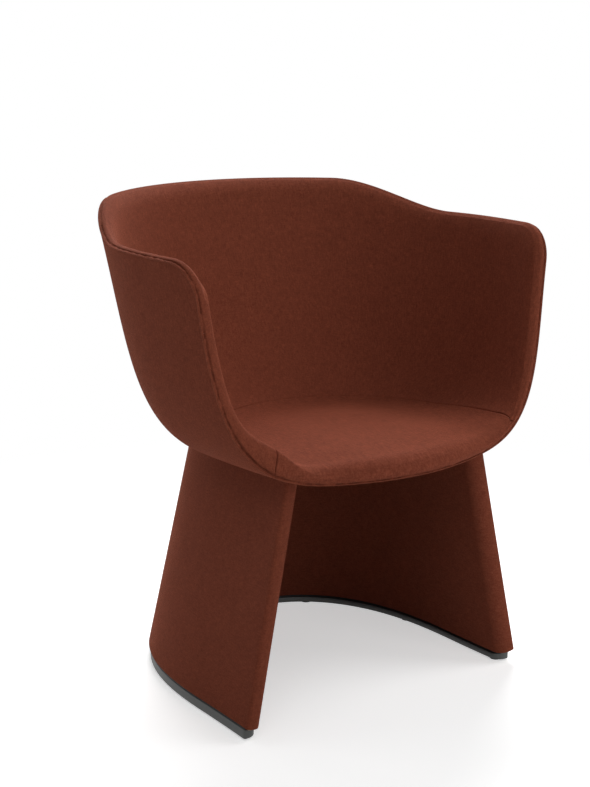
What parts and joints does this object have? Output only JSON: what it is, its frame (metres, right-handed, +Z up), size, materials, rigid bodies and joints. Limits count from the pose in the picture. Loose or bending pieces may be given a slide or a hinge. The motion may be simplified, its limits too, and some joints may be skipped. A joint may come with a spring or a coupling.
{
  "type": "upholstered bucket lounge chair",
  "caption": "Upholstered bucket lounge chair whose low arms step up to a rounded back, on a flared wrap-round base that is open at the front.",
  "frame": {"origin": "on the floor, under the middle of the chair's box", "axes": "+Z up, the front of the chair towards -Y, the sitter's left towards +X"},
  "size_m": [0.696, 0.6222, 0.7746],
  "materials": {
    "upholstery": "napped wool weave",
    "fleece": "soft fleece",
    "foam": "open cell foam",
    "shell": "matt",
    "plywood": "raw moulded plywood",
    "plinth": "matt",
    "coated_steel": "powder coated",
    "steel": "zinc plated",
    "glides": "smooth"
  },
  "bodies": {
    "root": {"seat_shell": "shell", "shell_inserts": "steel", "outer_fleece": "fleece", "seat_foam": "foam", "back_foam": "foam", "rim_roll": "foam", "outer_cover": "upholstery", "back_cover": "upholstery", "seat_cover": "upholstery", "base_wall": "plywood", "base_fleece_sleeve": "fleece", "base_cover": "upholstery", "seat_plate": "coated_steel", "shell_bolts": "steel", "bolt_washers": "steel", "wall_screws": "steel", "plinth": "plinth", "plinth_screws": "steel", "glides": "glides"}
  },
  "joints": []
}
